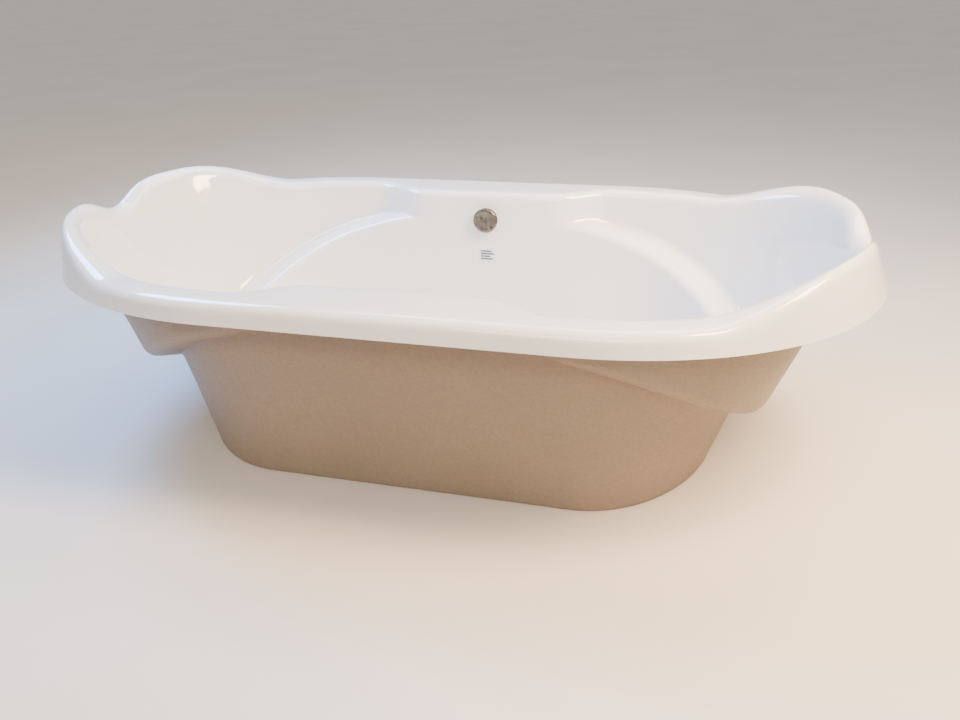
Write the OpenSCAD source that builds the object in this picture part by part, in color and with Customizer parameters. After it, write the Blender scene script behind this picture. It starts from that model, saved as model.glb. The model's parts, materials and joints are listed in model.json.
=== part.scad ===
// Double-ended acrylic bathtub with a scalloped rim, on its own glassed-in base, with a cable-driven waste.
// X runs along the tub, the overflow is in the back wall at +Y, and z = 0 is the surface it stands on.

/* [Outline] */
// Length over the bottom of the skirt
tub_length = 1830; // [1760:10:1880]
// Width over the bottom of the skirt
tub_width = 972; // [960:2:1000]
// Half length of the straight flanks
flank_half = 340; // [330:5:350]

/* [Rim] */
// Height of the side decks
deck_height = 473; // [465:1:490]
// Height of the bottom edge of the skirt
skirt_height = 430; // [420:1:436]
// Rise of the four corner lobes above the side decks
lobe_rise = 75; // [50:1:80]
// Dip of the saddle between the two lobes of one end
saddle_dip = 46; // [20:1:50]
// How far the skirt leans in on the flanks
skirt_lean_side = 9; // [6:1:12]
// How far the skirt leans in at the ends
skirt_lean_end = 35; // [25:1:45]
// Size of the rounding along both edges of the deck
rim_roll = 24; // [22:1:26]

/* [Basin] */
// Height of the basin floor at the waste
floor_height = 92; // [90:1:96]
// Half length of the floor
floor_half = 633; // [620:1:645]
// Half width of the floor
floor_side = 324; // [318:1:328]
// Size of the rounding from the floor to the walls
floor_roll = 70; // [50:1:80]
// Half width of the basin at the deck, beside the armrests
lip_side = 402; // [398:1:406]
// Half length of the basin at the deck
lip_half = 816; // [808:1:820]
// Distance from the middle to where the armrest recesses start
recess_start = 170; // [150:5:190]
// Distance from the middle to where the armrest recesses are full
recess_full = 320; // [300:5:330]
// Height of the armrest ledges at the middle of the tub
ledge_top = 392; // [370:1:400]
// Height of the armrest ledges at the ends
ledge_low = 160; // [150:1:180]

/* [Wall] */
// Thickness of the acrylic sheet
acrylic_t = 5; // [4:0.5:5]
// Thickness of the fibreglass behind it
glass_t = 5; // [4:0.5:5]

/* [Overflow and waste] */
// Height of the overflow
overflow_height = 403; // [400:1:405]
// Diameter of the overflow knob
knob_d = 65; // [62:1:70]
// Distance of the waste from the middle line
waste_y = 170; // [160:1:180]
// Outer diameter of the waste pipes
pipe_d = 36; // [34:1:38]
// Outer diameter of the outlet spigot
outlet_d = 40; // [38:1:40]

/* [Hidden] */
$fn = 64;
cut = 1;

// Outlines: how full the rounded ends are, from 1 (an ellipse) to 0 (a box)
rim_fullness = 0.96;
lip_fullness = 0.94;
floor_fullness = 1.05;
half_l = tub_length/2;
half_w = tub_width/2;
crest_half = half_l - skirt_lean_end;
crest_side = half_w - skirt_lean_side;

// Rim lobes: where they start and are full along X, the half width of the saddle along Y,
// the drop from crest to lip, and how far the lip is drawn out towards the crest
lobe_start = 586;
lobe_full = 827;
saddle_half = 80;
lobe_tilt = 18;
lobe_flare = 0.42;

// Lean of the walls, in mm per mm of height
side_lean = 0.042;
end_lean = 0.33;
back_lean = 0.34;

// Armrest ledges: rise from inner to outer edge, rounding, and where they start to fall
ledge_rise = 10;
ledge_roll = 18;
ledge_flat = 0.38;
ledge_bend = 1.65;

// Floor: the flat middle and the fall towards it
flat_half = 470;
flat_side = 225;
floor_fall = 3;

// Base: underside of the glassed floor, wall of the plinth, board and bearers
wall_t = acrylic_t + glass_t;
floor_under = floor_height - wall_t;
plinth_t = 10;
plinth_edge = 5;
board_t = 18;
board_under = floor_under - board_t;
bearer_w = 45;
bearer_at = [-430, -150, 150, 430];

// Rounds of the mesh: stations round each end and along each flank, and steps round each edge
end_n = 20;
flank_n = 16;
steps = 4;
ledge_steps = 3;
skirt_band = 8;

// Overflow: axis square to the back wall at its middle
wall_tilt = atan(side_lean);
overflow_y = floor_side + side_lean*(overflow_height - floor_height);
overflow_hole_r = 29;
gasket_t = 3;
cup_r = 31;
cup_wall = 3.3;
cup_end = 74;
spindle_r = 4;
fit = 0.05;
gap = 0.3;

// Pipework behind the back wall
pipe_r = pipe_d/2;
pipe_wall = 2;
pipe_y = 392;
drain_z = 42;
socket_r = pipe_r + 5;
nut_r = socket_r + 4;
nut_l = 25;
slip = 0.2;
tee_rise = 46;
cross_reach = 44;
socket_z = overflow_height - 54;

// Waste under the floor
waste_hole_r = 26;
neck_r = 23;
neck_wall = 2.5;
shoe_r = 34;
shoe_top = floor_under - gasket_t;
shoe_floor = 21;
flange_r = 36;
flange_t = 3;
seal_t = 1;
flange_top = floor_height + seal_t + flange_t;
stem_foot = 52;
lever_y = waste_y - 23;
lever_z = 36;

// Cable conduit from the overflow body to the shoe, clipped to the pipe
conduit_r = 3;
conduit_route = [[-20, 362, 368], [-21, 362, 350], [-24, 367, 322], [-25, 380, 280], [-25, 388, 240],
    [-25, 388, 195], [-25, 388, 150], [-28, 384, 115], [-42, 366, 80], [-56, 345, 52], [-60, 325, 45],
    [-60, 300, 44], [-58, 260, 44], [-49, 225, 45], [-39, 203, 45], [-37, 195, 45], [-37, 186, 45]];
clip_at = [160, 230];

// ---------- Curves ----------

function smooth(v) = let (u = min(1, max(0, v))) u*u*(3 - 2*u);
function power(v, e) = sign(v)*pow(abs(v), e);
function mix(p, q, w) = p*(1 - w) + q*w;
function unit(v) = v/norm(v);

// A station is [share of the straight flank, angle round the end], anticlockwise from the front right
stations = concat(
    [for (i = [0:end_n - 1]) [1, -90 + 180*i/end_n]],
    [for (i = [0:flank_n - 1]) [1 - 2*i/flank_n, 90]],
    [for (i = [0:end_n - 1]) [-1, 90 + 180*i/end_n]],
    [for (i = [0:flank_n - 1]) [-1 + 2*i/flank_n, 270]]);
count = len(stations);

// A point of an outline with half length a and half width b, straight along the flanks
function outline(st, a, b, e, z) =
    [st[0]*flank_half + (a - flank_half)*power(cos(st[1]), e), b*power(sin(st[1]), e), z];

function rim_point(st) = outline(st, crest_half, crest_side, rim_fullness, 0);
function lobe_share(st) = smooth((abs(rim_point(st)[0]) - lobe_start)/(lobe_full - lobe_start));
function crest_z(st) =
    deck_height + lobe_share(st)*(lobe_rise - saddle_dip*exp(-pow(rim_point(st)[1]/saddle_half, 2)));
function recess_share(st) = smooth((abs(rim_point(st)[0]) - recess_start)/(recess_full - recess_start));
function ledge_z(st) =
    let (q = abs(outline(st, floor_half, floor_side, floor_fullness, 0)[0])/floor_half)
    ledge_low + (ledge_top - ledge_low)*(1 - pow(max(0, (q - ledge_flat)/(1 - ledge_flat)), ledge_bend));

// The two walls of the basin at a height z, and the wall between them beside the recess
function lower_wall(st, z) =
    outline(st, floor_half + end_lean*(z - floor_height), floor_side + side_lean*(z - floor_height),
        floor_fullness, z);
function upper_wall(st, z) =
    outline(st, lip_half + back_lean*(z - deck_height), lip_side + side_lean*(z - deck_height),
        lip_fullness, z);
function wall_at(st, z) = mix(lower_wall(st, z), upper_wall(st, z), recess_share(st));

// The corner at b between a and c, rounded off from a distance d on either side
function rounded(a, b, c, d, n) =
    let (p = b + unit(a - b)*min(d, 0.45*norm(a - b)), q = b + unit(c - b)*min(d, 0.45*norm(c - b)))
    [for (k = [0:n]) let (u = k/n) p*(1 - u)*(1 - u) + b*2*u*(1 - u) + q*u*u];

// The finished face at one station, from the floor over the ledge and the deck to the skirt's edge
function section(st) =
    let (flat = outline(st, flat_half, flat_side, floor_fullness, floor_height),
        corner = lower_wall(st, floor_height + floor_fall),
        ledge_in = lower_wall(st, ledge_z(st)),
        ledge_out = wall_at(st, ledge_z(st) + ledge_rise),
        lip_z = crest_z(st) - lobe_tilt*lobe_share(st),
        lip = mix(wall_at(st, lip_z), outline(st, crest_half, crest_side, rim_fullness, lip_z),
            lobe_flare*lobe_share(st)),
        crest = outline(st, crest_half, crest_side, rim_fullness, crest_z(st)),
        edge = outline(st, half_l, half_w, rim_fullness, skirt_height),
        band = mix(edge, crest, skirt_band/(crest_z(st) - skirt_height)))
    concat([flat],
        rounded(flat, corner, ledge_in, floor_roll, steps),
        rounded(corner, ledge_in, ledge_out, ledge_roll, ledge_steps),
        rounded(ledge_in, ledge_out, lip, ledge_roll, ledge_steps),
        rounded(ledge_out, lip, crest, rim_roll, steps),
        rounded(lip, crest, band, rim_roll, steps),
        [band, edge]);

face = [for (st = stations) section(st)];
rows = len(face[0]);
wall_row = steps + 1;

// Direction from the finished face into the wall, at station i and row j
function inward(i, j) =
    j == 0 ? [0, 0, -1] :
    let (along = face[(i + 1)%count][j] - face[(i + count - 1)%count][j],
        across = face[i][min(j + 1, rows - 1)] - face[i][j - 1],
        n = cross(along, across))
    j >= rows - 2 ? unit([n[0], n[1], 0]) : unit(n);

// Row j of the finished face, moved t into the wall
function row(j, t) = [for (i = [0:count - 1]) face[i][j] + t*inward(i, j)];
function plinth_row(inset, z) =
    [for (st = stations) outline(st, floor_half + end_lean*(z - floor_height) + wall_t - inset,
        floor_side + side_lean*(z - floor_height) + wall_t - inset, floor_fullness, z)];

// A closed solid through rings of points, either capped on the first and the last or joined up as a loop.
// Each quad is split along its shorter diagonal, so that two skins with a face in common meet exactly.
module skin(rings, loop = false) {
    n = len(rings[0]);
    total = len(rings)*n;
    points = [for (ring = rings) each ring];
    sides = [for (r = [0:len(rings) - (loop ? 1 : 2)], i = [0:n - 1])
        let (a = r*n + i, b = r*n + (i + 1)%n, c = (b + n)%total, d = (a + n)%total)
        each norm(points[a] - points[c]) < norm(points[b] - points[d])
            ? [[a, b, c], [a, c, d]] : [[a, b, d], [b, c, d]]];
    caps = loop ? [] : [[for (i = [n - 1:-1:0]) i], [for (i = [0:n - 1]) total - n + i]];
    polyhedron(points = points, faces = concat(sides, caps), convexity = 10);
}

// A round tube or ring from height z0 to z1
module tube(r_out, r_in, z0, z1) {
    translate([0, 0, z0])
        difference() {
            cylinder(r = r_out, h = z1 - z0);
            translate([0, 0, -cut]) cylinder(r = r_in, h = z1 - z0 + 2*cut);
        }
}

// The overflow's own frame: z points out of the back wall into the basin
module at_overflow() {
    translate([0, overflow_y, overflow_height]) rotate([90 - wall_tilt, 0, 0]) children();
}

// A pipe that runs along +Y at the height of the drain, from y
module along_y(y) {
    translate([0, y, drain_z]) rotate([-90, 0, 0]) children();
}

// One skin of the tub with its holes for the overflow and the waste.
// The resize keeps its size and makes it a single mesh.
module drilled_skin(rings) {
    resize([0, 0, 0])
        difference() {
            skin(rings);
            at_overflow() translate([0, 0, -2*wall_t]) cylinder(r = overflow_hole_r, h = 3*wall_t);
            translate([0, waste_y, floor_under - wall_t]) cylinder(r = waste_hole_r, h = 3*wall_t);
        }
}

// ---------- Shell ----------

module acrylic_shell() {
    color("white")
        drilled_skin(concat(
            [for (j = [0:rows - 1]) row(j, 0)], [for (j = [rows - 1:-1:0]) row(j, acrylic_t)]));
}

module fibreglass_backing() {
    color("tan")
        drilled_skin(concat(
            [for (j = [0:rows - 2]) row(j, acrylic_t)], [for (j = [rows - 2:-1:0]) row(j, wall_t)]));
}

// The wall that carries on down from the walls of the basin, with holes for the waste pipe and the conduit
module base_plinth() {
    color("tan")
        resize([0, 0, 0])
            difference() {
                skin(concat([for (j = [wall_row - 2:wall_row]) row(j, wall_t)],
                    [plinth_row(0, plinth_edge), plinth_row(plinth_edge, 0), plinth_row(plinth_t, 0)]),
                    loop = true);
                along_y(floor_side - 3*plinth_t) cylinder(r = pipe_r + 4, h = 6*plinth_t);
                translate(conduit_route[10]) rotate([90, 0, 0])
                    cylinder(r = conduit_r + 3, h = 6*plinth_t, center = true);
            }
}

// A board that fills the base, open from the waste to the back for the shoe and its pipe
module base_board() {
    inset = 40;
    notch = 150;
    edge = [for (p = plinth_row(inset, board_under)) [p[0], p[1]]];
    color("burlywood")
        translate([0, 0, board_under])
            difference() {
                linear_extrude(board_t) polygon(edge);
                translate([-notch/2, waste_y - shoe_r - 16, -cut]) cube([notch, half_w, board_t + 2*cut]);
            }
}

module base_bearers() {
    color("burlywood")
        for (x = bearer_at) {
            reach = abs(x) > flank_half ? 215 : 275;
            translate([x - bearer_w/2, -reach, 0]) cube([bearer_w, 2*reach, board_under]);
        }
}

module rim_batten(side) {
    batten = [660, 25, 28];
    translate([-batten[0]/2, side*(lip_side + rim_roll + batten[1]/2 + 1) - batten[1]/2,
            deck_height - wall_t - batten[2]])
        color("burlywood") cube(batten);
}

module blank_label() {
    label = [46, 38, 0.4];
    below = 98;
    color("whitesmoke")
        at_overflow() translate([-label[0]/2, -below - label[1]/2, 0]) cube(label);
}

// ---------- Overflow ----------

module overflow_gasket() {
    color("dimgray") at_overflow() tube(cup_r + 9, cup_r - cup_wall, -wall_t - gasket_t, -wall_t);
}

module overflow_body() {
    front = wall_t + gasket_t;
    color("gray")
        difference() {
            union() {
                at_overflow() {
                    translate([0, 0, -front - 5]) cylinder(r = cup_r + 11, h = 5);
                    translate([0, 0, -cup_end]) cylinder(r = cup_r, h = cup_end - front);
                }
                translate([0, pipe_y, socket_z]) cylinder(r = socket_r, h = 30);
                translate(conduit_route[0]) cylinder(r = 6, h = 22);
            }
            at_overflow() translate([0, 0, -cup_end + 4]) cylinder(r = cup_r - cup_wall, h = cup_end);
            translate([0, pipe_y, socket_z - cut]) cylinder(r = pipe_r + slip, h = 18);
            translate([0, pipe_y, socket_z - cut]) cylinder(r = pipe_r - pipe_wall, h = 40);
            translate(conduit_route[0] - [0, 0, cut]) cylinder(r = 1.5, h = 30);
        }
}

// The clamp ring screws into the body from inside the basin and carries the spindle in its hub
module overflow_ring() {
    ring_r = cup_r - cup_wall - slip;
    color("silver")
        at_overflow()
            difference() {
                union() {
                    tube(cup_r, ring_r - 3, 0, 3);
                    tube(ring_r, ring_r - 3, -24, 1);
                    translate([0, 0, -9]) cylinder(r = 9, h = 9);
                    for (turn = [0, 120, 240])
                        rotate([0, 0, turn]) translate([6, -2.5, -9]) cube([ring_r - 7, 5, 7]);
                }
                translate([0, 0, -20]) cylinder(r = spindle_r + fit, h = 30);
            }
}

module knob_spindle() {
    color("silver")
        at_overflow()
            difference() {
                translate([0, 0, -60]) cylinder(r = spindle_r, h = 74);
                translate([0, 0, 2]) cylinder(r = 2 + slip/2, h = 13);
            }
}

// A dished disc with a rolled edge, a boss on the spindle and two hollows for the fingers
module overflow_knob() {
    r = knob_d/2;
    back = 8;
    color("rosybrown")
        at_overflow()
            difference() {
                rotate_extrude(convexity = 4)
                    polygon([[spindle_r + slip/4, 4], [10, 4], [10, back + 2], [r - 4, back + 1],
                        [r - 1, back], [r, back + 1.5], [r, back + 8], [r - 2, back + 10.5],
                        [r - 6, back + 11.5],
                        [r - 12, back + 10], [0, back + 9], [0, 14 + slip/4],
                        [spindle_r + slip/4, 14 + slip/4]]);
                translate([0, 0, 13]) cylinder(r = 2 + slip/2, h = 10);
                translate([0, 0, back + 7]) cylinder(r = 4.5, h = 10);
                for (side = [-1, 1])
                    rotate([0, 0, -40]) translate([side*17, 0, back + 18]) sphere(r = 13);
            }
}

module knob_screw() {
    color("silver")
        at_overflow() {
            translate([0, 0, 3]) cylinder(r = 2, h = 13);
            translate([0, 0, 15]) cylinder(r = 4, h = 2.5);
        }
}

module cable_cam() {
    color("gray")
        at_overflow()
            difference() {
                union() {
                    translate([0, 0, -58]) cylinder(r = 8, h = 10);
                    translate([0, 0, -56]) cylinder(r = 16, h = 2);
                    translate([0, 0, -54]) cylinder(r = 13, h = 2);
                    translate([0, 0, -52]) cylinder(r = 16, h = 2);
                }
                translate([0, 0, -60]) cylinder(r = spindle_r + slip/4, h = 14);
            }
}

// ---------- Pipework ----------

module overflow_pipe() {
    color("lightgray")
        translate([0, pipe_y, 0]) tube(pipe_r, pipe_r - pipe_wall, drain_z + tee_rise - 12, socket_z + 16);
}

// A soft washer that a nut squeezes between a pipe and the mouth of its socket
module slip_washer(z0) {
    tube(socket_r, pipe_r + slip, z0, z0 + 4);
}

// A ribbed hand nut over a socket, with its lip round the pipe at z0
module slip_nut(z0) {
    difference() {
        union() {
            translate([0, 0, z0]) cylinder(r = nut_r, h = nut_l);
            for (turn = [0:30:330])
                rotate([0, 0, turn]) translate([nut_r - 1, -3, z0 + 3]) cube([2.5, 6, nut_l - 6]);
        }
        translate([0, 0, z0 - cut]) cylinder(r = pipe_r + slip, h = nut_l);
        translate([0, 0, z0 + 4]) cylinder(r = socket_r + slip, h = nut_l);
    }
}

module upper_pipe_washer() {
    color("dimgray") translate([0, pipe_y, 0]) slip_washer(socket_z - 4);
}

module upper_pipe_nut() {
    color("gray") translate([0, pipe_y, 0]) slip_nut(socket_z - 8);
}

// The tee takes the overflow from above and the shoe from the front, and drains to the back
module waste_tee() {
    color("gray")
        difference() {
            union() {
                translate([0, pipe_y, drain_z]) cylinder(r = socket_r, h = tee_rise);
                along_y(pipe_y - cross_reach) cylinder(r = socket_r, h = cross_reach + 23);
                along_y(pipe_y + 20) cylinder(r = outlet_d/2, h = 55);
            }
            translate([0, pipe_y, drain_z + tee_rise - 13]) cylinder(r = pipe_r + slip, h = 20);
            translate([0, pipe_y, drain_z]) cylinder(r = pipe_r - pipe_wall, h = tee_rise);
            along_y(pipe_y - cross_reach - cut) cylinder(r = pipe_r + slip, h = 14);
            along_y(pipe_y - cross_reach - cut) cylinder(r = pipe_r - pipe_wall, h = 130);
        }
}

module lower_pipe_washer() {
    color("dimgray") translate([0, pipe_y, 0]) slip_washer(drain_z + tee_rise);
}

module lower_pipe_nut() {
    color("gray")
        translate([0, pipe_y, drain_z + tee_rise + 8]) mirror([0, 0, 1]) slip_nut(0);
}

module cross_pipe_washer() {
    color("dimgray") along_y(pipe_y - cross_reach - 4) slip_washer(0);
}

module cross_pipe_nut() {
    color("gray") along_y(pipe_y - cross_reach - 8) slip_nut(0);
}

// ---------- Waste ----------

module waste_flange() {
    web = 3;
    color("silver")
        translate([0, waste_y, 0])
            difference() {
                union() {
                    tube(flange_r, neck_r - neck_wall, floor_height + seal_t, flange_top);
                    tube(neck_r, neck_r - neck_wall, 60, flange_top);
                    translate([0, 0, 78]) cylinder(r = 7, h = 8);
                    for (turn = [0, 90])
                        rotate([0, 0, turn])
                            translate([-neck_r + 1, -web/2, 78]) cube([2*neck_r - 2, web, 6]);
                }
                translate([0, 0, 70]) cylinder(r = spindle_r + fit, h = 30);
            }
}

module flange_seal() {
    color("dimgray")
        translate([0, waste_y, 0]) tube(flange_r - 1, waste_hole_r, floor_height, floor_height + seal_t);
}

module shoe_gasket() {
    color("dimgray") translate([0, waste_y, 0]) tube(shoe_r + 4, waste_hole_r, shoe_top, floor_under);
}

// The shoe screws up onto the flange, holds the lever, and sends the water back through its pipe
module waste_shoe() {
    inner = shoe_r - 5;
    color("gray")
        difference() {
            union() {
                translate([0, waste_y, shoe_floor]) cylinder(r = shoe_r, h = shoe_top - shoe_floor);
                translate([0, waste_y, shoe_top - 6]) cylinder(r = shoe_r + 5, h = 6);
                along_y(waste_y) cylinder(r = pipe_r, h = pipe_y - cross_reach + 12 - waste_y);
                translate([conduit_route[16][0], waste_y - 10, conduit_route[16][2]])
                    rotate([-90, 0, 0]) cylinder(r = 6, h = 26);
            }
            translate([0, waste_y, shoe_floor + 5]) cylinder(r = inner, h = 34);
            translate([0, waste_y, shoe_floor + 6]) cylinder(r = neck_r + slip, h = 60);
            along_y(waste_y) cylinder(r = pipe_r - pipe_wall, h = pipe_y);
            translate([conduit_route[16][0], waste_y - 11, conduit_route[16][2]])
                rotate([-90, 0, 0]) cylinder(r = 1.5, h = 30);
            translate([-shoe_r, lever_y, lever_z]) rotate([0, 90, 0]) cylinder(r = 2 + slip/10, h = 2*shoe_r);
        }
}

// A shallow cap that covers the flange, with a boss for the seal and a stem down the hub
module plug() {
    r = 30;
    boss_r = 17.5;
    under = flange_top + gap;
    color("silver")
        translate([0, waste_y, 0]) {
            rotate_extrude()
                polygon([[0, under], [r - 1, under], [r, under + 1], [r, under + 2], [r - 3, under + 4],
                    [r - 12, under + 6], [0, under + 7]]);
            translate([0, 0, under - 6.5]) cylinder(r = boss_r, h = 7);
            translate([0, 0, stem_foot]) cylinder(r = spindle_r, h = under - stem_foot);
        }
}

module plug_seal() {
    seal_r = 1.3;
    color("black")
        translate([0, waste_y, flange_top - 2.5])
            rotate_extrude() translate([17.5 + seal_r + 0.02, 0]) circle(r = seal_r, $fn = 32);
}

// The lever turns on its pin and pushes the stem up with its toe
module lift_lever() {
    arm = 37;
    half = 2.5;
    reach = waste_y + spindle_r - lever_y;
    foot = stem_foot - gap - lever_z;
    rise = acos(half/norm([reach, foot])) - atan2(reach, foot);
    color("silver")
        translate([0, lever_y, lever_z])
            difference() {
                union() {
                    rotate([0, 90, 0]) translate([0, 0, -6]) cylinder(r = 5, h = 12);
                    rotate([rise, 0, 0]) translate([-4, 0, -half]) cube([8, arm, 2*half]);
                }
                rotate([0, 90, 0]) translate([0, 0, -10]) cylinder(r = 2 + fit, h = 20);
            }
}

module lever_pin() {
    reach = sqrt(shoe_r*shoe_r - pow(waste_y - lever_y, 2)) - 1;
    color("silver") translate([-reach, lever_y, lever_z]) rotate([0, 90, 0]) cylinder(r = 2, h = 2*reach);
}

// ---------- Cable ----------

// A round tube along points, with a ring of n corners at each
module swept(points, r, n) {
    last = len(points) - 1;
    heading = [for (k = [0:last]) unit(points[min(k + 1, last)] - points[max(k - 1, 0)])];
    side = [for (t = heading) unit(cross(t, [0.31, 0.95, 0.05]))];
    skin([for (k = [0:last]) [for (m = [0:n - 1]) let (turn = -360*m/n)
        points[k] + r*(cos(turn)*side[k] + sin(turn)*cross(heading[k], side[k]))]]);
}

module cable_conduit() {
    color("darkslategray") swept(conduit_route, conduit_r, 10);
}

module conduit_clips() {
    lane = conduit_route[5];
    color("black")
        for (z = clip_at)
            difference() {
                union() {
                    translate([0, pipe_y, z]) cylinder(r = pipe_r + 2.5, h = 8);
                    translate([lane[0], lane[1], z]) cylinder(r = conduit_r + 2.5, h = 8);
                }
                translate([0, pipe_y, z - cut]) cylinder(r = pipe_r + slip, h = 10);
                translate([lane[0], lane[1], z - cut]) cylinder(r = conduit_r + slip, h = 10);
            }
}

acrylic_shell();
fibreglass_backing();
base_plinth();
base_board();
base_bearers();
rim_batten(-1);  // rim_batten_front
rim_batten(1);  // rim_batten_back
blank_label();
overflow_gasket();
overflow_body();
overflow_ring();
knob_spindle();
overflow_knob();
knob_screw();
cable_cam();
overflow_pipe();
upper_pipe_washer();
upper_pipe_nut();
waste_tee();
lower_pipe_washer();
lower_pipe_nut();
cross_pipe_washer();
cross_pipe_nut();
waste_flange();
flange_seal();
shoe_gasket();
waste_shoe();
plug();
plug_seal();
lift_lever();
lever_pin();
cable_conduit();
conduit_clips();
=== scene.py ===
import json
from math import cos, exp, pi, radians, sin

import bmesh
import bpy
from mathutils import Matrix, Vector, noise


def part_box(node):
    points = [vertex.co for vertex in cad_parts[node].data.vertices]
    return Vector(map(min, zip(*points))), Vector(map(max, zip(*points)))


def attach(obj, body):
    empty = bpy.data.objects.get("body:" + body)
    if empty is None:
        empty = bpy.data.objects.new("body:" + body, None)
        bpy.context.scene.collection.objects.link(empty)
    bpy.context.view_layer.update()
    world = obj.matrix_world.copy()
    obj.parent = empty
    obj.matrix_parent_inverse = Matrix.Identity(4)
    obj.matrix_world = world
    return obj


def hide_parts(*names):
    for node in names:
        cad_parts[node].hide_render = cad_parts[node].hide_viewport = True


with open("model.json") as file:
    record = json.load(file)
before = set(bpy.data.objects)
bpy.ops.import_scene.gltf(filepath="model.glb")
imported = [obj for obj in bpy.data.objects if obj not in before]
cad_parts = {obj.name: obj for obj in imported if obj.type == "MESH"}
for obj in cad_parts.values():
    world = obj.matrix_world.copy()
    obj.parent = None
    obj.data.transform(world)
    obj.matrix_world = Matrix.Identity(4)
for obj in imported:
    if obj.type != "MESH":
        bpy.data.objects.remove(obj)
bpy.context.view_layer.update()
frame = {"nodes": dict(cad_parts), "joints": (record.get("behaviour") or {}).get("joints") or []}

MM = 0.001


# ---------- Camera ----------
# It stands in front of the right half of the tub, above the rim, and looks down across the basin
# at the middle of the far wall, with the horizon a little out of level.

camera_at = Vector((0.5575, -1.7036, 1.0437))
camera_turn = 16.126
camera_dip = 26.516
camera_lean = -2.152
camera_data = bpy.data.cameras.new("camera")
camera_data.lens = 30.88
camera = bpy.data.objects.new("camera", camera_data)
camera.matrix_world = (
    Matrix.Translation(camera_at)
    @ Matrix.Rotation(radians(camera_turn), 4, "Z")
    @ Matrix.Rotation(radians(90 - camera_dip), 4, "X")
    @ Matrix.Rotation(radians(camera_lean), 4, "Z")
)
bpy.context.scene.collection.objects.link(camera)
bpy.context.scene.camera = camera


# ---------- Studio light ----------
# Large soft boxes in a pale room: a warm one on the right, which lights the left end, a cool one on
# the left, which lights the right end, long strips behind and in front, and a broad glow from above.


def softbox(name, place, aim, width, height, watts, colour):
    """A rectangular area light that faces the point aim."""
    data = bpy.data.lights.new(name, "AREA")
    data.shape = "RECTANGLE"
    data.size = width
    data.size_y = height
    data.energy = watts
    data.color = colour
    light = bpy.data.objects.new(name, data)
    light.location = place
    light.rotation_mode = "QUATERNION"
    light.rotation_quaternion = (Vector(aim) - Vector(place)).to_track_quat("-Z", "Y")
    bpy.context.scene.collection.objects.link(light)


softbox("warm_right_box", (1.5, -0.4, 1.9), (-0.6, 0.1, 0.3), 0.6, 1.1, 180, (1.0, 0.70, 0.40))
softbox("cool_left_box", (-1.5, 0.3, 1.9), (0.6, 0.1, 0.3), 0.9, 0.7, 105, (0.20, 0.45, 1.0))
softbox("overhead_box", (0.1, 0.9, 2.4), (0, 0.2, 0.4), 2.4, 0.5, 38, (0.93, 0.96, 1.0))
softbox("front_box", (0.4, -2.8, 2.2), (0, -0.3, 0.2), 2.2, 0.5, 45, (1.0, 0.78, 0.56))

sky_data = bpy.data.lights.new("ceiling_glow", "SUN")
sky_data.energy = 1.25
sky_data.angle = radians(70)
sky_data.color = (1.0, 0.93, 0.85)
sky = bpy.data.objects.new("ceiling_glow", sky_data)
sky.rotation_euler = (radians(32), radians(8), 0)
bpy.context.scene.collection.objects.link(sky)

room = bpy.data.worlds.new("room")
room.use_nodes = True
room.node_tree.nodes["Background"].inputs["Color"].default_value = (0.86, 0.88, 0.92, 1)
room.node_tree.nodes["Background"].inputs["Strength"].default_value = 0.4
bpy.context.scene.world = room


# ---------- Floor ----------
# A plain pale floor of warm, sealed screed, which runs out of sight in every direction.
# It isn't part of the tub.


class Wire:
    """A socket in a material's node tree. Arithmetic on wires and numbers adds Math nodes."""

    def __init__(self, tree, socket=None):
        self.tree = tree
        self.socket = socket

    def node(self, kind, settings=None, inputs=None, output=0):
        """A new node: its settings, then a value or a wire for each input, and the wire of one output."""
        made = self.tree.nodes.new("ShaderNode" + kind)
        for name, value in (settings or {}).items():
            setattr(made, name, value)
        for name, value in (inputs or {}).items():
            if isinstance(value, Wire):
                self.tree.links.new(value.socket, made.inputs[name])
            else:
                made.inputs[name].default_value = value
        return Wire(self.tree, made.outputs[output])

    def maths(self, operation, a, b):
        return self.node("Math", {"operation": operation}, {0: a, 1: b})

    def __add__(self, other):
        return self.maths("ADD", self, other)

    def __radd__(self, other):
        return self.maths("ADD", other, self)

    def __sub__(self, other):
        return self.maths("SUBTRACT", self, other)

    def __rsub__(self, other):
        return self.maths("SUBTRACT", other, self)

    def __mul__(self, other):
        return self.maths("MULTIPLY", self, other)

    def over(self, low, high):
        """This wire as a mask: 0 at low, 1 at high, and smooth between."""
        return self.node(
            "MapRange",
            {"interpolation_type": "SMOOTHSTEP"},
            {"Value": self, "From Min": low, "From Max": high},
        )

    def tint(self, colour, other):
        """colour where this mask is 0 and other where it is 1."""
        inputs = {0: self, 6: colour, 7: other}
        for k in (6, 7):
            if isinstance(inputs[k], tuple):
                inputs[k] = (*inputs[k], 1)
        return self.node("Mix", {"data_type": "RGBA"}, inputs, 2)

    def noise(self, scale, detail=2.0, roughness=0.5):
        """Noise at this vector, from 0 to 1."""
        inputs = {"Vector": self, "Scale": scale, "Detail": detail, "Roughness": roughness}
        return self.node("TexNoise", {}, inputs)

    def stretched(self, x, y, z):
        """This vector with its axes scaled."""
        return self.node("Mapping", {}, {"Vector": self, "Scale": (x, y, z)})

    def bump(self, height):
        """The normal of a surface whose relief is this wire, with height metres between 0 and 1."""
        return self.node("Bump", {}, {"Height": self, "Distance": height})


def finish(name, **constants):
    """A new material with a Principled shader: the material, that shader, and the wire of the place."""
    material = bpy.data.materials.new(name)
    material.use_nodes = True
    shader = material.node_tree.nodes["Principled BSDF"]
    for socket, value in constants.items():
        shader.inputs[socket.replace("_", " ")].default_value = value
    place = Wire(material.node_tree).node("TexCoord", {}, {}, "Object")
    return material, shader, place


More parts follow.
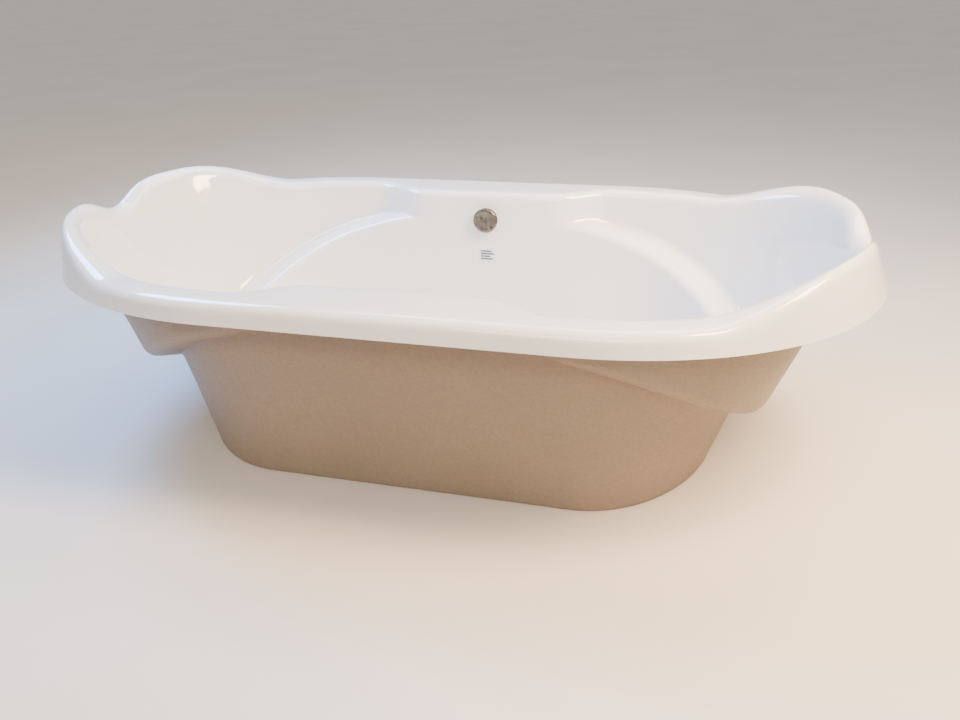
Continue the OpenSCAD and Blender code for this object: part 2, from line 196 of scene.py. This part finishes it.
def feed(shader, **wires):
    """Links wires to the named inputs of a shader."""
    for socket, wire in wires.items():
        wire.tree.links.new(wire.socket, shader.inputs[socket.replace("_", " ")])


screed, shader, place = finish("pale_screed", Roughness=0.55, Specular_IOR_Level=0.3)
cloud = place.noise(1.4, 4).over(0.3, 0.7)
feed(shader, Base_Color=cloud.tint((0.74, 0.68, 0.61), (0.78, 0.72, 0.65)))

floor_mesh = bpy.data.meshes.new("studio_floor")
bm = bmesh.new()
bmesh.ops.create_grid(bm, x_segments=8, y_segments=8, size=60)
bm.to_mesh(floor_mesh)
bm.free()
floor_mesh.materials.append(screed)
studio_floor = bpy.data.objects.new("studio_floor", floor_mesh)
bpy.context.scene.collection.objects.link(studio_floor)


# ---------- Acrylic shell ----------
# One sheet of white acrylic, vacuum-formed over a mould: basin, armrest ledges, deck, lobes and skirt.
# It is trimmed level at the bottom of the skirt and drilled for the overflow and the waste.

low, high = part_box("acrylic_shell")
half_l = (high.x - low.x) / 2
half_w = (high.y - low.y) / 2
flank_half = 340 * MM
deck_height = 473 * MM
skirt_height = 430 * MM
lobe_rise = 75 * MM
saddle_dip = 46 * MM
saddle_half = 80 * MM
crest_half = half_l - 35 * MM
crest_side = half_w - 9 * MM
rim_roll = 24 * MM
floor_height = 92 * MM
floor_half = 633 * MM
floor_side = 324 * MM
floor_roll = 70 * MM
floor_fall = 3 * MM
flat_half = 470 * MM
flat_side = 225 * MM
lip_half = 816 * MM
lip_side = 402 * MM
side_lean = 0.042
end_lean = 0.33
back_lean = 0.34
rim_fullness = 0.96
lip_fullness = 0.94
floor_fullness = 1.05
lobe_start = 586 * MM
lobe_run = 241 * MM
recess_start = 170 * MM
recess_run = 150 * MM
ledge_top = 392 * MM
ledge_low = 160 * MM
ledge_rise = 10 * MM
ledge_roll = 18 * MM
ledge_flat = 0.38
ledge_bend = 1.65
lobe_tilt = 18 * MM
lobe_flare = 0.42
sheet_t = 5 * MM
end_steps = 80
flank_steps = 56
drain_at = Vector((0, 170 * MM, floor_height))
drain_hole = 26 * MM


def smooth(v):
    """0 up to v = 0, 1 from v = 1, and a soft step between."""
    v = min(1, max(0, v))
    return v * v * (3 - 2 * v)


def signed_power(v, e):
    return abs(v) ** e if v >= 0 else -(abs(v) ** e)


def outline(station, length, width, fullness, z):
    """A point of a long oval of half length and half width, straight along its flanks."""
    along, angle = station
    x = along * flank_half + (length - flank_half) * signed_power(cos(angle), fullness)
    return Vector((x, width * signed_power(sin(angle), fullness), z))


def rounded(a, b, c, size, steps):
    """The corner at b between a and c, rounded off from size on either side."""
    p = b + (a - b).normalized() * min(size, 0.45 * (a - b).length)
    q = b + (c - b).normalized() * min(size, 0.45 * (c - b).length)
    shares = [k / steps for k in range(steps + 1)]
    return [p * (1 - u) ** 2 + b * 2 * u * (1 - u) + q * u * u for u in shares]


def lower_wall(station, z):
    rise = z - floor_height
    length = floor_half + end_lean * rise
    return outline(station, length, floor_side + side_lean * rise, floor_fullness, z)


def upper_wall(station, z):
    rise = z - deck_height
    length = lip_half + back_lean * rise
    return outline(station, length, lip_side + side_lean * rise, lip_fullness, z)


def section(station):
    """The finished face at one station, from the floor over ledge and deck down to the skirt's edge."""
    rim = outline(station, crest_half, crest_side, rim_fullness, 0)
    lobe = smooth((abs(rim.x) - lobe_start) / lobe_run)
    recess = smooth((abs(rim.x) - recess_start) / recess_run)
    crest_z = deck_height + lobe * (lobe_rise - saddle_dip * exp(-((rim.y / saddle_half) ** 2)))
    reach = abs(outline(station, floor_half, floor_side, floor_fullness, 0).x) / floor_half
    fall = max(0, (reach - ledge_flat) / (1 - ledge_flat)) ** ledge_bend
    ledge_z = ledge_low + (ledge_top - ledge_low) * (1 - fall)
    lip_z = crest_z - lobe_tilt * lobe

    def wall(z):
        return lower_wall(station, z).lerp(upper_wall(station, z), recess)

    flat = outline(station, flat_half, flat_side, floor_fullness, floor_height)
    corner = lower_wall(station, floor_height + floor_fall)
    ledge_in = lower_wall(station, ledge_z)
    ledge_out = wall(ledge_z + ledge_rise)
    lip = wall(lip_z).lerp(rim + Vector((0, 0, lip_z)), lobe_flare * lobe)
    crest = rim + Vector((0, 0, crest_z))
    edge = outline(station, half_l, half_w, rim_fullness, skirt_height)
    runs = [
        [flat],
        rounded(flat, corner, ledge_in, floor_roll, 12),
        rounded(corner, ledge_in, ledge_out, ledge_roll, 6),
        rounded(ledge_in, ledge_out, lip, ledge_roll, 6),
        rounded(ledge_out, lip, crest, rim_roll, 8),
        rounded(lip, crest, edge, rim_roll, 8),
        [edge],
    ]
    gaps = [1, 2, 14, 2, 10, 4, 5]
    rows = []
    for run, gap in zip(runs, gaps):
        rows += [rows[-1].lerp(run[0], k / gap) for k in range(1, gap)]
        rows += run
    return rows


stations = [(1, pi * (k / end_steps - 0.5)) for k in range(end_steps)]
stations += [(1 - 2 * k / flank_steps, pi / 2) for k in range(flank_steps)]
stations += [(-1, pi * (k / end_steps + 0.5)) for k in range(end_steps)]
stations += [(2 * k / flank_steps - 1, -pi / 2) for k in range(flank_steps)]
face = [section(station) for station in stations]
last_row = len(face[0]) - 1


def into_wall(i, j):
    """The direction from the finished face into the wall, at station i and row j."""
    if j == 0:
        return Vector((0, 0, -1))
    along = face[(i + 1) % len(face)][j] - face[i - 1][j]
    across = face[i][min(j + 1, last_row)] - face[i][j - 1]
    direction = along.cross(across)
    if j == last_row:
        direction.z = 0
    return direction.normalized()


inward = [[into_wall(i, j) for j in range(last_row + 1)] for i in range(len(face))]


def row(j, depth):
    """Row j of the finished face, sunk depth into the wall."""
    return [face[i][j] + inward[i][j] * depth for i in range(len(face))]


def drain_rows(depth):
    """Rings on the flat floor, from the waste hole out to the first row of the face."""
    down = Vector((0, 0, -depth))
    rim = row(0, 0)
    ring = [drain_at + (p - drain_at).normalized() * drain_hole + down for p in rim]
    return [ring] + [[a.lerp(b + down, u) for a, b in zip(ring, rim)] for u in (0.12, 0.35, 0.65)]


def ring_skin(rings):
    """A closed solid: a circle set to the first ring, extruded from ring to ring, and bridged shut."""
    bm = bmesh.new()
    old = bmesh.ops.create_circle(bm, segments=len(rings[0]), radius=1)["verts"]
    for vertex, point in zip(old, rings[0]):
        vertex.co = point
    first = list(bm.edges)
    edges = first
    for ring in rings[1:]:
        made = bmesh.ops.extrude_edge_only(bm, edges=edges)["geom"]
        fresh = {g for g in made if isinstance(g, bmesh.types.BMVert)}
        edges = [g for g in made if isinstance(g, bmesh.types.BMEdge) and fresh.issuperset(g.verts)]
        old = [next(v for e in w.link_edges for v in e.verts if v in fresh) for w in old]
        for vertex, point in zip(old, ring):
            vertex.co = point
    bmesh.ops.bridge_loops(bm, edges=first + edges)
    bmesh.ops.recalc_face_normals(bm, faces=bm.faces)
    return bm


def add_piece(name, bm, material, slot, body, *nodes, sharp=35):
    """Makes the mesh an object with smooth faces and sharp corners, which rides on a body for CAD nodes."""
    mesh = bpy.data.meshes.new(name)
    bm.to_mesh(mesh)
    bm.free()
    mesh.shade_smooth()
    mesh.set_sharp_from_angle(angle=radians(sharp))
    mesh.materials.append(material)
    made = bpy.data.objects.new(name, mesh)
    bpy.context.scene.collection.objects.link(made)
    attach(made, body)
    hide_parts(*nodes)


def drilled(bm, axis_frame, radius, start, end):
    """bm with a round hole along the frame's Z axis, from start to end."""
    drill = bmesh.new()
    middle = axis_frame @ Matrix.Translation((0, 0, (start + end) / 2))
    bmesh.ops.create_cone(
        drill, cap_ends=True, segments=96, radius1=radius, radius2=radius, depth=end - start, matrix=middle
    )
    pair = []
    for name, shape in (("blank", bm), ("drill", drill)):
        mesh = bpy.data.meshes.new(name)
        shape.to_mesh(mesh)
        shape.free()
        pair.append(bpy.data.objects.new(name, mesh))
        bpy.context.scene.collection.objects.link(pair[-1])
    blank, tool = pair
    cut = blank.modifiers.new("hole", "BOOLEAN")
    cut.operation = "DIFFERENCE"
    cut.solver = "EXACT"
    cut.object = tool
    result = bmesh.new()
    result.from_object(blank, bpy.context.evaluated_depsgraph_get())
    for spent in pair:
        bpy.data.objects.remove(spent)
    return result


# The overflow's own frame, from its joint: Z points out of the back wall into the basin
knob_joint = next(j for j in frame["joints"] if j["name"] == "knob_turn")
out = Vector(knob_joint["axis"]).normalized()
side = Vector((1, 0, 0))
up = out.cross(side)
overflow_frame = Matrix.Translation(knob_joint["pos_m"]) @ Matrix((side, up, out)).transposed().to_4x4()
overflow_hole = 29 * MM

acrylic, shader, place = finish(
    "white_acrylic", IOR=1.49, Coat_Roughness=0.02, Subsurface_Weight=0.04, Subsurface_Scale=0.004
)
shade = place.noise(1.7, 3).over(0.3, 0.7)
smears = place.noise(9, 5, 0.6).over(0.45, 0.75)
ripple = place.noise(16, 1) * 0.7 + place.noise(55, 2) * 0.3
feed(
    shader,
    Base_Color=shade.tint((0.79, 0.785, 0.775), (0.82, 0.815, 0.805)),
    Roughness=0.07 + smears * 0.07,
    Coat_Weight=0.5 - smears * 0.2,
    Normal=ripple.bump(0.0007),
)

eased = 0.8 * MM
skirt_foot = [
    [p + Vector((0, 0, eased)) for p in row(last_row, 0)],
    row(last_row, eased),
    row(last_row, sheet_t - eased),
    [p + Vector((0, 0, eased)) for p in row(last_row, sheet_t)],
]
rings = drain_rows(0) + [row(j, 0) for j in range(last_row)] + skirt_foot
rings += [row(j, sheet_t) for j in reversed(range(last_row))] + drain_rows(sheet_t)[::-1]
shell = drilled(ring_skin(rings), overflow_frame, overflow_hole, -20 * MM, 12 * MM)
add_piece("acrylic_tub_shell", shell, acrylic, "acrylic", "tub", "acrylic_shell")


# ---------- Fibreglass backing ----------
# Tan resin and chopped glass, sprayed and rolled by hand on the back of the acrylic.
# Its back is uneven and dull, and it stops just short of the bottom of the skirt.

glass_t = 5 * MM
wall_t = sheet_t + glass_t


def hand_laid(points, directions):
    """Points moved along their directions by the lumps and hollows of a hand-rolled laminate."""
    moved = []
    for p, d in zip(points, directions):
        lump = 1.0 * MM * noise.noise(p * 9) + 0.5 * MM * noise.noise(p * 27)
        moved.append(p + d * lump)
    return moved


def rough_row(j):
    """Row j of the laminate's back."""
    return hand_laid(row(j, wall_t), [inward[i][j] for i in range(len(face))])


fibreglass, shader, place = finish("tan_fibreglass", Specular_IOR_Level=0.4, Coat_Roughness=0.35)
patches = place.noise(5, 3, 0.6).over(0.3, 0.7)
mottle = place.noise(150, 4, 0.65).over(0.35, 0.7)
strands = place.stretched(90, 700, 260).noise(1, 2).over(0.6, 0.72)
cross_strands = place.stretched(600, 120, 60).noise(1, 2).over(0.6, 0.72)
tan = patches.tint((0.275, 0.21, 0.15), (0.30, 0.23, 0.165))
tan = (mottle * 0.35).tint(tan, (0.21, 0.16, 0.115))
tan = ((strands + cross_strands) * 0.12).tint(tan, (0.40, 0.33, 0.25))
peel = place.noise(330, 3, 0.6) * 0.4 + place.noise(120, 3) * 0.6 + (strands + cross_strands) * 0.12
feed(
    shader,
    Base_Color=tan,
    Roughness=0.42 + patches * 0.14 + mottle * 0.08,
    Coat_Weight=0.22 - patches * 0.12,
    Normal=peel.bump(0.003),
)

backing_top = last_row - 1
rings = drain_rows(sheet_t) + [row(j, sheet_t) for j in range(backing_top + 1)]
rings += [rough_row(j) for j in reversed(range(1, backing_top + 1))]
rings += [row(0, wall_t)] + drain_rows(wall_t)[::-1]
backing = drilled(ring_skin(rings), overflow_frame, overflow_hole, -30 * MM, 12 * MM)
add_piece("fibreglass_tub_back", backing, fibreglass, "fibreglass", "tub", "fibreglass_backing", sharp=50)


# ---------- Plinth ----------
# The same laminate carries on down from the walls as an open base, with a rounded foot.
# It has a hole in the back for the waste pipe and a small one for the conduit.

plinth_t = 10 * MM
foot_round = 5 * MM
floor_corner_rows = range(8, 15)
wall_top = floor_corner_rows[-1]


def plinth_row(inset, z):
    """A level ring of the plinth, inset from its outer face."""
    rise = z - floor_height
    length = floor_half + end_lean * rise + wall_t - inset
    width = floor_side + side_lean * rise + wall_t - inset
    return [outline(station, length, width, floor_fullness, z) for station in stations]


def outwards(ring):
    """The level directions out of a ring."""
    along = [ring[(i + 1) % len(ring)] - ring[i - 1] for i in range(len(ring))]
    return [step.cross(Vector((0, 0, 1))).normalized() for step in along]


top_ring = row(wall_top, wall_t)
foot_ring = plinth_row(0, foot_round)
drop = 14
outer = [[a.lerp(b, k / drop) for a, b in zip(top_ring, foot_ring)] for k in range(1, drop + 1)]
rings = [row(j, wall_t) for j in floor_corner_rows[:-1]] + [rough_row(wall_top)]
rings += [hand_laid(ring, outwards(ring)) for ring in outer]
rings += [plinth_row(foot_round * (1 - cos(a)), foot_round * (1 - sin(a))) for a in (pi / 6, pi / 3, pi / 2)]
rings += [plinth_row(plinth_t, 0)]
inner_top = row(floor_corner_rows[0], wall_t)
rings += [[a.lerp(b, k / 6) for a, b in zip(plinth_row(plinth_t, 0), inner_top)] for k in range(1, 6)]
pipe_frame = Matrix.Translation((0, 0, 42 * MM)) @ Matrix.Rotation(radians(-90), 4, "X")
conduit_frame = Matrix.Translation((-60 * MM, 0, 45 * MM)) @ Matrix.Rotation(radians(-90), 4, "X")
plinth = drilled(ring_skin(rings), pipe_frame, 22 * MM, 290 * MM, 350 * MM)
plinth = drilled(plinth, conduit_frame, 6 * MM, 290 * MM, 350 * MM)
add_piece("fibreglass_plinth", plinth, fibreglass, "fibreglass", "tub", "base_plinth", sharp=50)


# ---------- Base board, bearers and battens ----------
# A birch plywood board is glassed in under the floor and stands on four sawn softwood bearers.
# Two planed battens stiffen the deck from below.


def wood(name, pale, dark, along, ring_scale):
    """A timber finish whose grain runs along the X or the Y axis."""
    material, shader, place = finish(name, Specular_IOR_Level=0.25)
    fine = (6, 90, 90) if along == "X" else (90, 6, 90)
    broad = (1.2, ring_scale, ring_scale) if along == "X" else (ring_scale, 1.2, ring_scale)
    grain = place.stretched(*fine).noise(1, 4, 0.65).over(0.3, 0.75)
    figure = place.stretched(*broad).noise(1, 3, 0.55).over(0.35, 0.65)
    colour = (figure * 0.6 + grain * 0.35).tint(pale, dark)
    feed(shader, Base_Color=colour, Roughness=0.6 + grain * 0.2, Normal=grain.bump(0.0004))
    return material


plywood = wood("birch_plywood", (0.55, 0.40, 0.25), (0.38, 0.25, 0.14), "X", 11)
bearer_wood = wood("sawn_softwood", (0.56, 0.38, 0.20), (0.36, 0.20, 0.09), "Y", 30)
batten_wood = wood("planed_softwood", (0.60, 0.43, 0.24), (0.42, 0.25, 0.12), "X", 34)
frame["nodes"]["base_board"].data.materials.clear()
frame["nodes"]["base_board"].data.materials.append(plywood)


def timber(bm, low, high):
    """Adds one length of sawn timber between two corners, with its edges broken."""
    cube = bmesh.ops.create_cube(bm, size=1)["verts"]
    size = high - low
    bmesh.ops.scale(bm, verts=cube, vec=size)
    bmesh.ops.translate(bm, verts=cube, vec=(low + high) / 2)
    edges = list({e for v in cube for e in v.link_edges})
    bmesh.ops.bevel(
        bm,
        geom=edges,
        offset=1.5 * MM,
        offset_type="OFFSET",
        affect="EDGES",
        segments=3,
        profile=0.5,
        material=-1,
    )


bearer_w = 45 * MM
low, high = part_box("base_bearers")
bm = bmesh.new()
for x in (-430, -150, 150, 430):
    reach = high.y if abs(x) < 340 else 215 * MM
    middle = x * MM
    timber(bm, Vector((middle - bearer_w / 2, -reach, 0)), Vector((middle + bearer_w / 2, reach, high.z)))
add_piece("four_timber_bearers", bm, bearer_wood, "timber", "tub", "base_bearers")
for name in ("rim_batten_front", "rim_batten_back"):
    low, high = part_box(name)
    bm = bmesh.new()
    timber(bm, low, high)
    add_piece("timber_" + name, bm, batten_wood, "timber", "tub", name)


# ---------- Overflow knob ----------
# A dished, satin metal knob with a rolled edge and two hollows for finger and thumb.
# It is turned on a lathe and held to its spindle by a screw.


def turned(profile, axis_frame, steps=96):
    """A solid turned on a lathe: a profile of (radius, height) that starts and ends on the axis."""
    bm = bmesh.new()
    points = [bm.verts.new((r, 0, z)) for r, z in profile]
    edges = [bm.edges.new(pair) for pair in zip(points, points[1:])]
    bmesh.ops.spin(
        bm,
        geom=points + edges,
        cent=(0, 0, 0),
        axis=(0, 0, 1),
        angle=2 * pi,
        steps=steps,
        use_merge=True,
    )
    bmesh.ops.remove_doubles(bm, verts=bm.verts, dist=0.01 * MM)
    bmesh.ops.recalc_face_normals(bm, faces=bm.faces)
    bmesh.ops.transform(bm, verts=bm.verts, matrix=axis_frame)
    return bm


def arc(r, z, radius, start, end, steps):
    """Points (radius, height) on an arc about (r, z), from one angle to another in degrees."""
    angles = [radians(start + (end - start) * k / steps) for k in range(steps + 1)]
    return [(r + radius * cos(a), z + radius * sin(a)) for a in angles]


# The dark brown base colours are painted reflection of a brown room in the satin nickel, not the metal's own
# pale colour. A noise mask mixes the two browns, as tarnish and painted reflection, and varies the roughness
# with it.
satin, shader, place = finish("satin_nickel", Metallic=1.0)
tarnish_and_reflection = place.noise(45, 4, 0.6).over(0.35, 0.7)
spots = place.noise(260, 2).over(0.5, 0.7)
feed(
    shader,
    Base_Color=tarnish_and_reflection.tint((0.19, 0.16, 0.12), (0.13, 0.11, 0.082)),
    Roughness=0.24 + tarnish_and_reflection * 0.12 + spots * 0.06,
    Normal=spots.bump(0.00006),
)

knob_r = (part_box("overflow_knob")[1].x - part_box("overflow_knob")[0].x) / 2
back_z = 8 * MM
roll = 4.5 * MM
dish = [(knob_r * (0.72 - 0.09 * k), 18.3 * MM - 1.6 * MM * sin(pi / 2 * k / 6)) for k in range(7)]
profile = [(0, back_z), (10 * MM, back_z), (knob_r - 6 * MM, back_z + 0.6 * MM)]
profile += arc(knob_r - roll, back_z + roll + 1.0 * MM, roll, -80, 100, 14)
profile += [(knob_r * 0.79, 18.6 * MM)] + dish
profile += [(4.6 * MM, 16.6 * MM), (4.2 * MM, 15.2 * MM), (0, 15.2 * MM)]
bm = turned(profile, Matrix.Identity(4), 128)
scoop_r = 13 * MM
for vertex in bm.verts:
    if vertex.co.z > 15.5 * MM:
        for turn in (-40, 140):
            scoop = Vector((17 * MM * cos(radians(turn)), 17 * MM * sin(radians(turn)), 26.5 * MM))
            flat_gap = (vertex.co.xy - scoop.xy).length
            if flat_gap < scoop_r:
                floor_z = scoop.z - (scoop_r ** 2 - flat_gap ** 2) ** 0.5
                vertex.co.z = min(vertex.co.z, floor_z)
bmesh.ops.transform(bm, verts=bm.verts, matrix=overflow_frame)
add_piece("dished_overflow_knob", bm, satin, "knob_metal", "knob", "overflow_knob", sharp=40)


# ---------- Knob screw ----------
# A domed machine screw with a hexagon socket, which holds the knob on the end of the spindle.

chrome, shader, place = finish("bright_chrome", Metallic=1.0)
haze = place.noise(70, 4, 0.6).over(0.4, 0.75)
feed(shader, Base_Color=haze.tint((0.80, 0.81, 0.82), (0.70, 0.71, 0.73)), Roughness=0.07 + haze * 0.13)

head = [(0, 3 * MM), (2 * MM, 3 * MM), (2 * MM, 15.2 * MM), (4 * MM, 15.2 * MM)]
head += arc(2.6 * MM, 16.0 * MM, 1.4 * MM, 0, 80, 6) + [(1.6 * MM, 17.5 * MM), (0, 17.5 * MM)]
bm = turned(head, Matrix.Identity(4), 48)
socket = [v for v in bm.verts if v.co.z > 17.49 * MM and v.co.xy.length < 0.1 * MM]
top_faces = [f for v in socket for f in v.link_faces]
flat_top = bmesh.ops.dissolve_faces(bm, faces=top_faces)["region"]
bmesh.ops.inset_region(bm, faces=flat_top, thickness=0.25 * MM)
bmesh.ops.translate(bm, verts=flat_top[0].verts, vec=(0, 0, -1.2 * MM))
bmesh.ops.transform(bm, verts=bm.verts, matrix=overflow_frame)
# The screw takes the knob's satin finish, with its painted brown reflection.
add_piece("domed_knob_screw", bm, satin, "knob_metal", "knob", "knob_screw")


# ---------- Overflow fittings ----------
# Behind the knob: a chromed clamp ring and spindle, a rubber gasket, and the grey moulded body
# with the cam that pulls the cable.


def moulded(name, colour, other, gloss):
    """A moulded plastic: slight flow marks in the colour, and a fine spark-eroded grain."""
    material, shader, place = finish(name, Specular_IOR_Level=0.45)
    flow = place.stretched(8, 8, 22).noise(1, 3).over(0.3, 0.7)
    grain = place.noise(1400, 1)
    feed(
        shader,
        Base_Color=flow.tint(colour, other),
        Roughness=gloss + flow * 0.1,
        Normal=grain.bump(0.00008),
    )
    return material


grey_plastic = moulded("grey_moulded_plastic", (0.20, 0.21, 0.22), (0.24, 0.25, 0.26), 0.38)
pale_plastic = moulded("white_drawn_pipe", (0.68, 0.68, 0.66), (0.74, 0.74, 0.72), 0.28)
black_plastic = moulded("black_moulded_plastic", (0.018, 0.018, 0.02), (0.03, 0.03, 0.032), 0.42)
rubber = moulded("black_rubber", (0.022, 0.021, 0.02), (0.04, 0.038, 0.036), 0.7)

carried_over = {
    "overflow_ring": chrome,
    "knob_spindle": chrome,
    "overflow_gasket": rubber,
    "overflow_body": grey_plastic,
    "cable_cam": grey_plastic,
    "overflow_pipe": pale_plastic,
    "upper_pipe_washer": rubber,
    "upper_pipe_nut": grey_plastic,
    "waste_tee": grey_plastic,
    "lower_pipe_washer": rubber,
    "lower_pipe_nut": grey_plastic,
    "cross_pipe_washer": rubber,
    "cross_pipe_nut": grey_plastic,
    "waste_flange": chrome,
    "flange_seal": rubber,
    "shoe_gasket": rubber,
    "waste_shoe": grey_plastic,
    "plug_seal": rubber,
    "lift_lever": chrome,
    "lever_pin": chrome,
    "conduit_clips": black_plastic,
}
for name, material in carried_over.items():
    slots = frame["nodes"][name].data.materials
    slots.clear()
    slots.append(material)


# ---------- Plug ----------
# A chromed brass plug, turned in one piece: a shallow cap with a groove near its rim, a boss that
# carries the seal, and a stem that runs down through the flange to the lever.

low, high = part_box("plug")
plug_r = (high.x - low.x) / 2
cap_z = high.z - 7 * MM
stem_r = 4 * MM
boss_r = 17.5 * MM
profile = [(0, low.z), (stem_r - 0.6 * MM, low.z), (stem_r, low.z + 0.6 * MM), (stem_r, cap_z - 6.5 * MM)]
profile += [(boss_r, cap_z - 6.5 * MM), (boss_r, cap_z), (plug_r - 1 * MM, cap_z)]
profile += arc(plug_r - 1 * MM, cap_z + 1 * MM, 1 * MM, -60, 60, 4)
groove = ((3.0, 3.8), (3.6, 3.3), (4.4, 4.2))
profile += [(plug_r - inset * MM, cap_z + rise * MM) for inset, rise in groove]
dome = [1 - u for u in (0.3, 0.45, 0.6, 0.75, 0.9, 0.97)]
profile += [(plug_r * share, cap_z + 7 * MM - 2.8 * MM * share ** 2) for share in dome]
profile += [(0, high.z)]
plug_frame = Matrix.Translation((0, drain_at.y, 0))
add_piece("turned_plug", turned(profile, plug_frame), chrome, "polished_metal", "plug", "plug", sharp=30)


# ---------- Cable conduit ----------
# A black nylon conduit that guides the cable from the overflow down the pipe and forward to the shoe.
# It is pushed into a spigot at each end and held to the pipe by two clips.

conduit_route = [
    (-20, 362, 368), (-21, 362, 350), (-24, 367, 322), (-25, 380, 280), (-25, 388, 240), (-25, 388, 195),
    (-25, 388, 150), (-28, 384, 115), (-42, 366, 80), (-56, 345, 52), (-60, 325, 45), (-60, 300, 44),
    (-58, 260, 44), (-49, 225, 45), (-39, 203, 45), (-37, 195, 45), (-37, 186, 45),
]
curve = bpy.data.curves.new("conduit_line", "CURVE")
curve.dimensions = "3D"
curve.bevel_depth = 3 * MM
curve.bevel_resolution = 5
curve.resolution_u = 6
curve.use_fill_caps = True
spline = curve.splines.new("BEZIER")
spline.bezier_points.add(len(conduit_route) - 1)
for knot, point in zip(spline.bezier_points, conduit_route):
    knot.co = Vector(point) * MM
    knot.handle_left_type = "AUTO"
    knot.handle_right_type = "AUTO"
line = bpy.data.objects.new("conduit_line", curve)
bpy.context.scene.collection.objects.link(line)
bpy.context.view_layer.update()
bm = bmesh.new()
bm.from_mesh(bpy.data.meshes.new_from_object(line.evaluated_get(bpy.context.evaluated_depsgraph_get())))
bpy.data.objects.remove(line)
bmesh.ops.remove_doubles(bm, verts=bm.verts, dist=0.01 * MM)
bmesh.ops.recalc_face_normals(bm, faces=bm.faces)
add_piece("nylon_cable_conduit", bm, black_plastic, "black_plastic", "tub", "cable_conduit")


# ---------- Label ----------
# A small paper label stuck on the wall under the overflow, with plain grey bars and a lifted corner.

paper, shader, place = finish("label_paper", Specular_IOR_Level=0.3)
fibres = place.noise(500, 3).over(0.3, 0.7)
on_label = place.node("Mapping", {}, {"Vector": place, "Location": (0, 0, -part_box("blank_label")[0].z)})
height = on_label.node("SeparateXYZ", {}, {0: on_label}, 2)
across = on_label.node("SeparateXYZ", {}, {0: on_label}, 0)
bars = 0
for bar_z, bar_from, bar_to in ((30, -18, 12), (23, -18, 18), (16, -18, 8), (9, -18, 15)):
    in_height = height.over((bar_z - 2.4) * MM, (bar_z - 1.9) * MM)
    in_height = in_height - height.over((bar_z + 1.9) * MM, (bar_z + 2.4) * MM)
    in_width = across.over(bar_from * MM, (bar_from + 0.6) * MM)
    in_width = in_width - across.over(bar_to * MM, (bar_to + 0.6) * MM)
    bars = bars + in_height * in_width
white = fibres.tint((0.68, 0.71, 0.77), (0.73, 0.76, 0.81))
feed(shader, Base_Color=bars.tint(white, (0.06, 0.08, 0.15)), Roughness=0.5 + fibres * 0.15)

label_w = 46 * MM
label_h = 38 * MM
label_t = 0.25 * MM
bm = bmesh.new()
bmesh.ops.create_grid(bm, x_segments=28, y_segments=18, size=0.5)
bmesh.ops.scale(bm, verts=bm.verts, vec=(label_w, label_h, 1))
for vertex in bm.verts:
    lift = max(0, (vertex.co.x / label_w - vertex.co.y / label_h) - 0.62)
    vertex.co.z = label_t + 6 * MM * lift ** 2
paper_edge = bmesh.ops.extrude_face_region(bm, geom=list(bm.faces))["geom"]
moved = [g for g in paper_edge if isinstance(g, bmesh.types.BMVert)]
bmesh.ops.translate(bm, verts=moved, vec=(0, 0, -label_t))
bmesh.ops.recalc_face_normals(bm, faces=bm.faces)
bmesh.ops.transform(bm, verts=bm.verts, matrix=overflow_frame @ Matrix.Translation((0, -98 * MM, 0)))
add_piece("paper_label", bm, paper, "label", "tub", "blank_label")
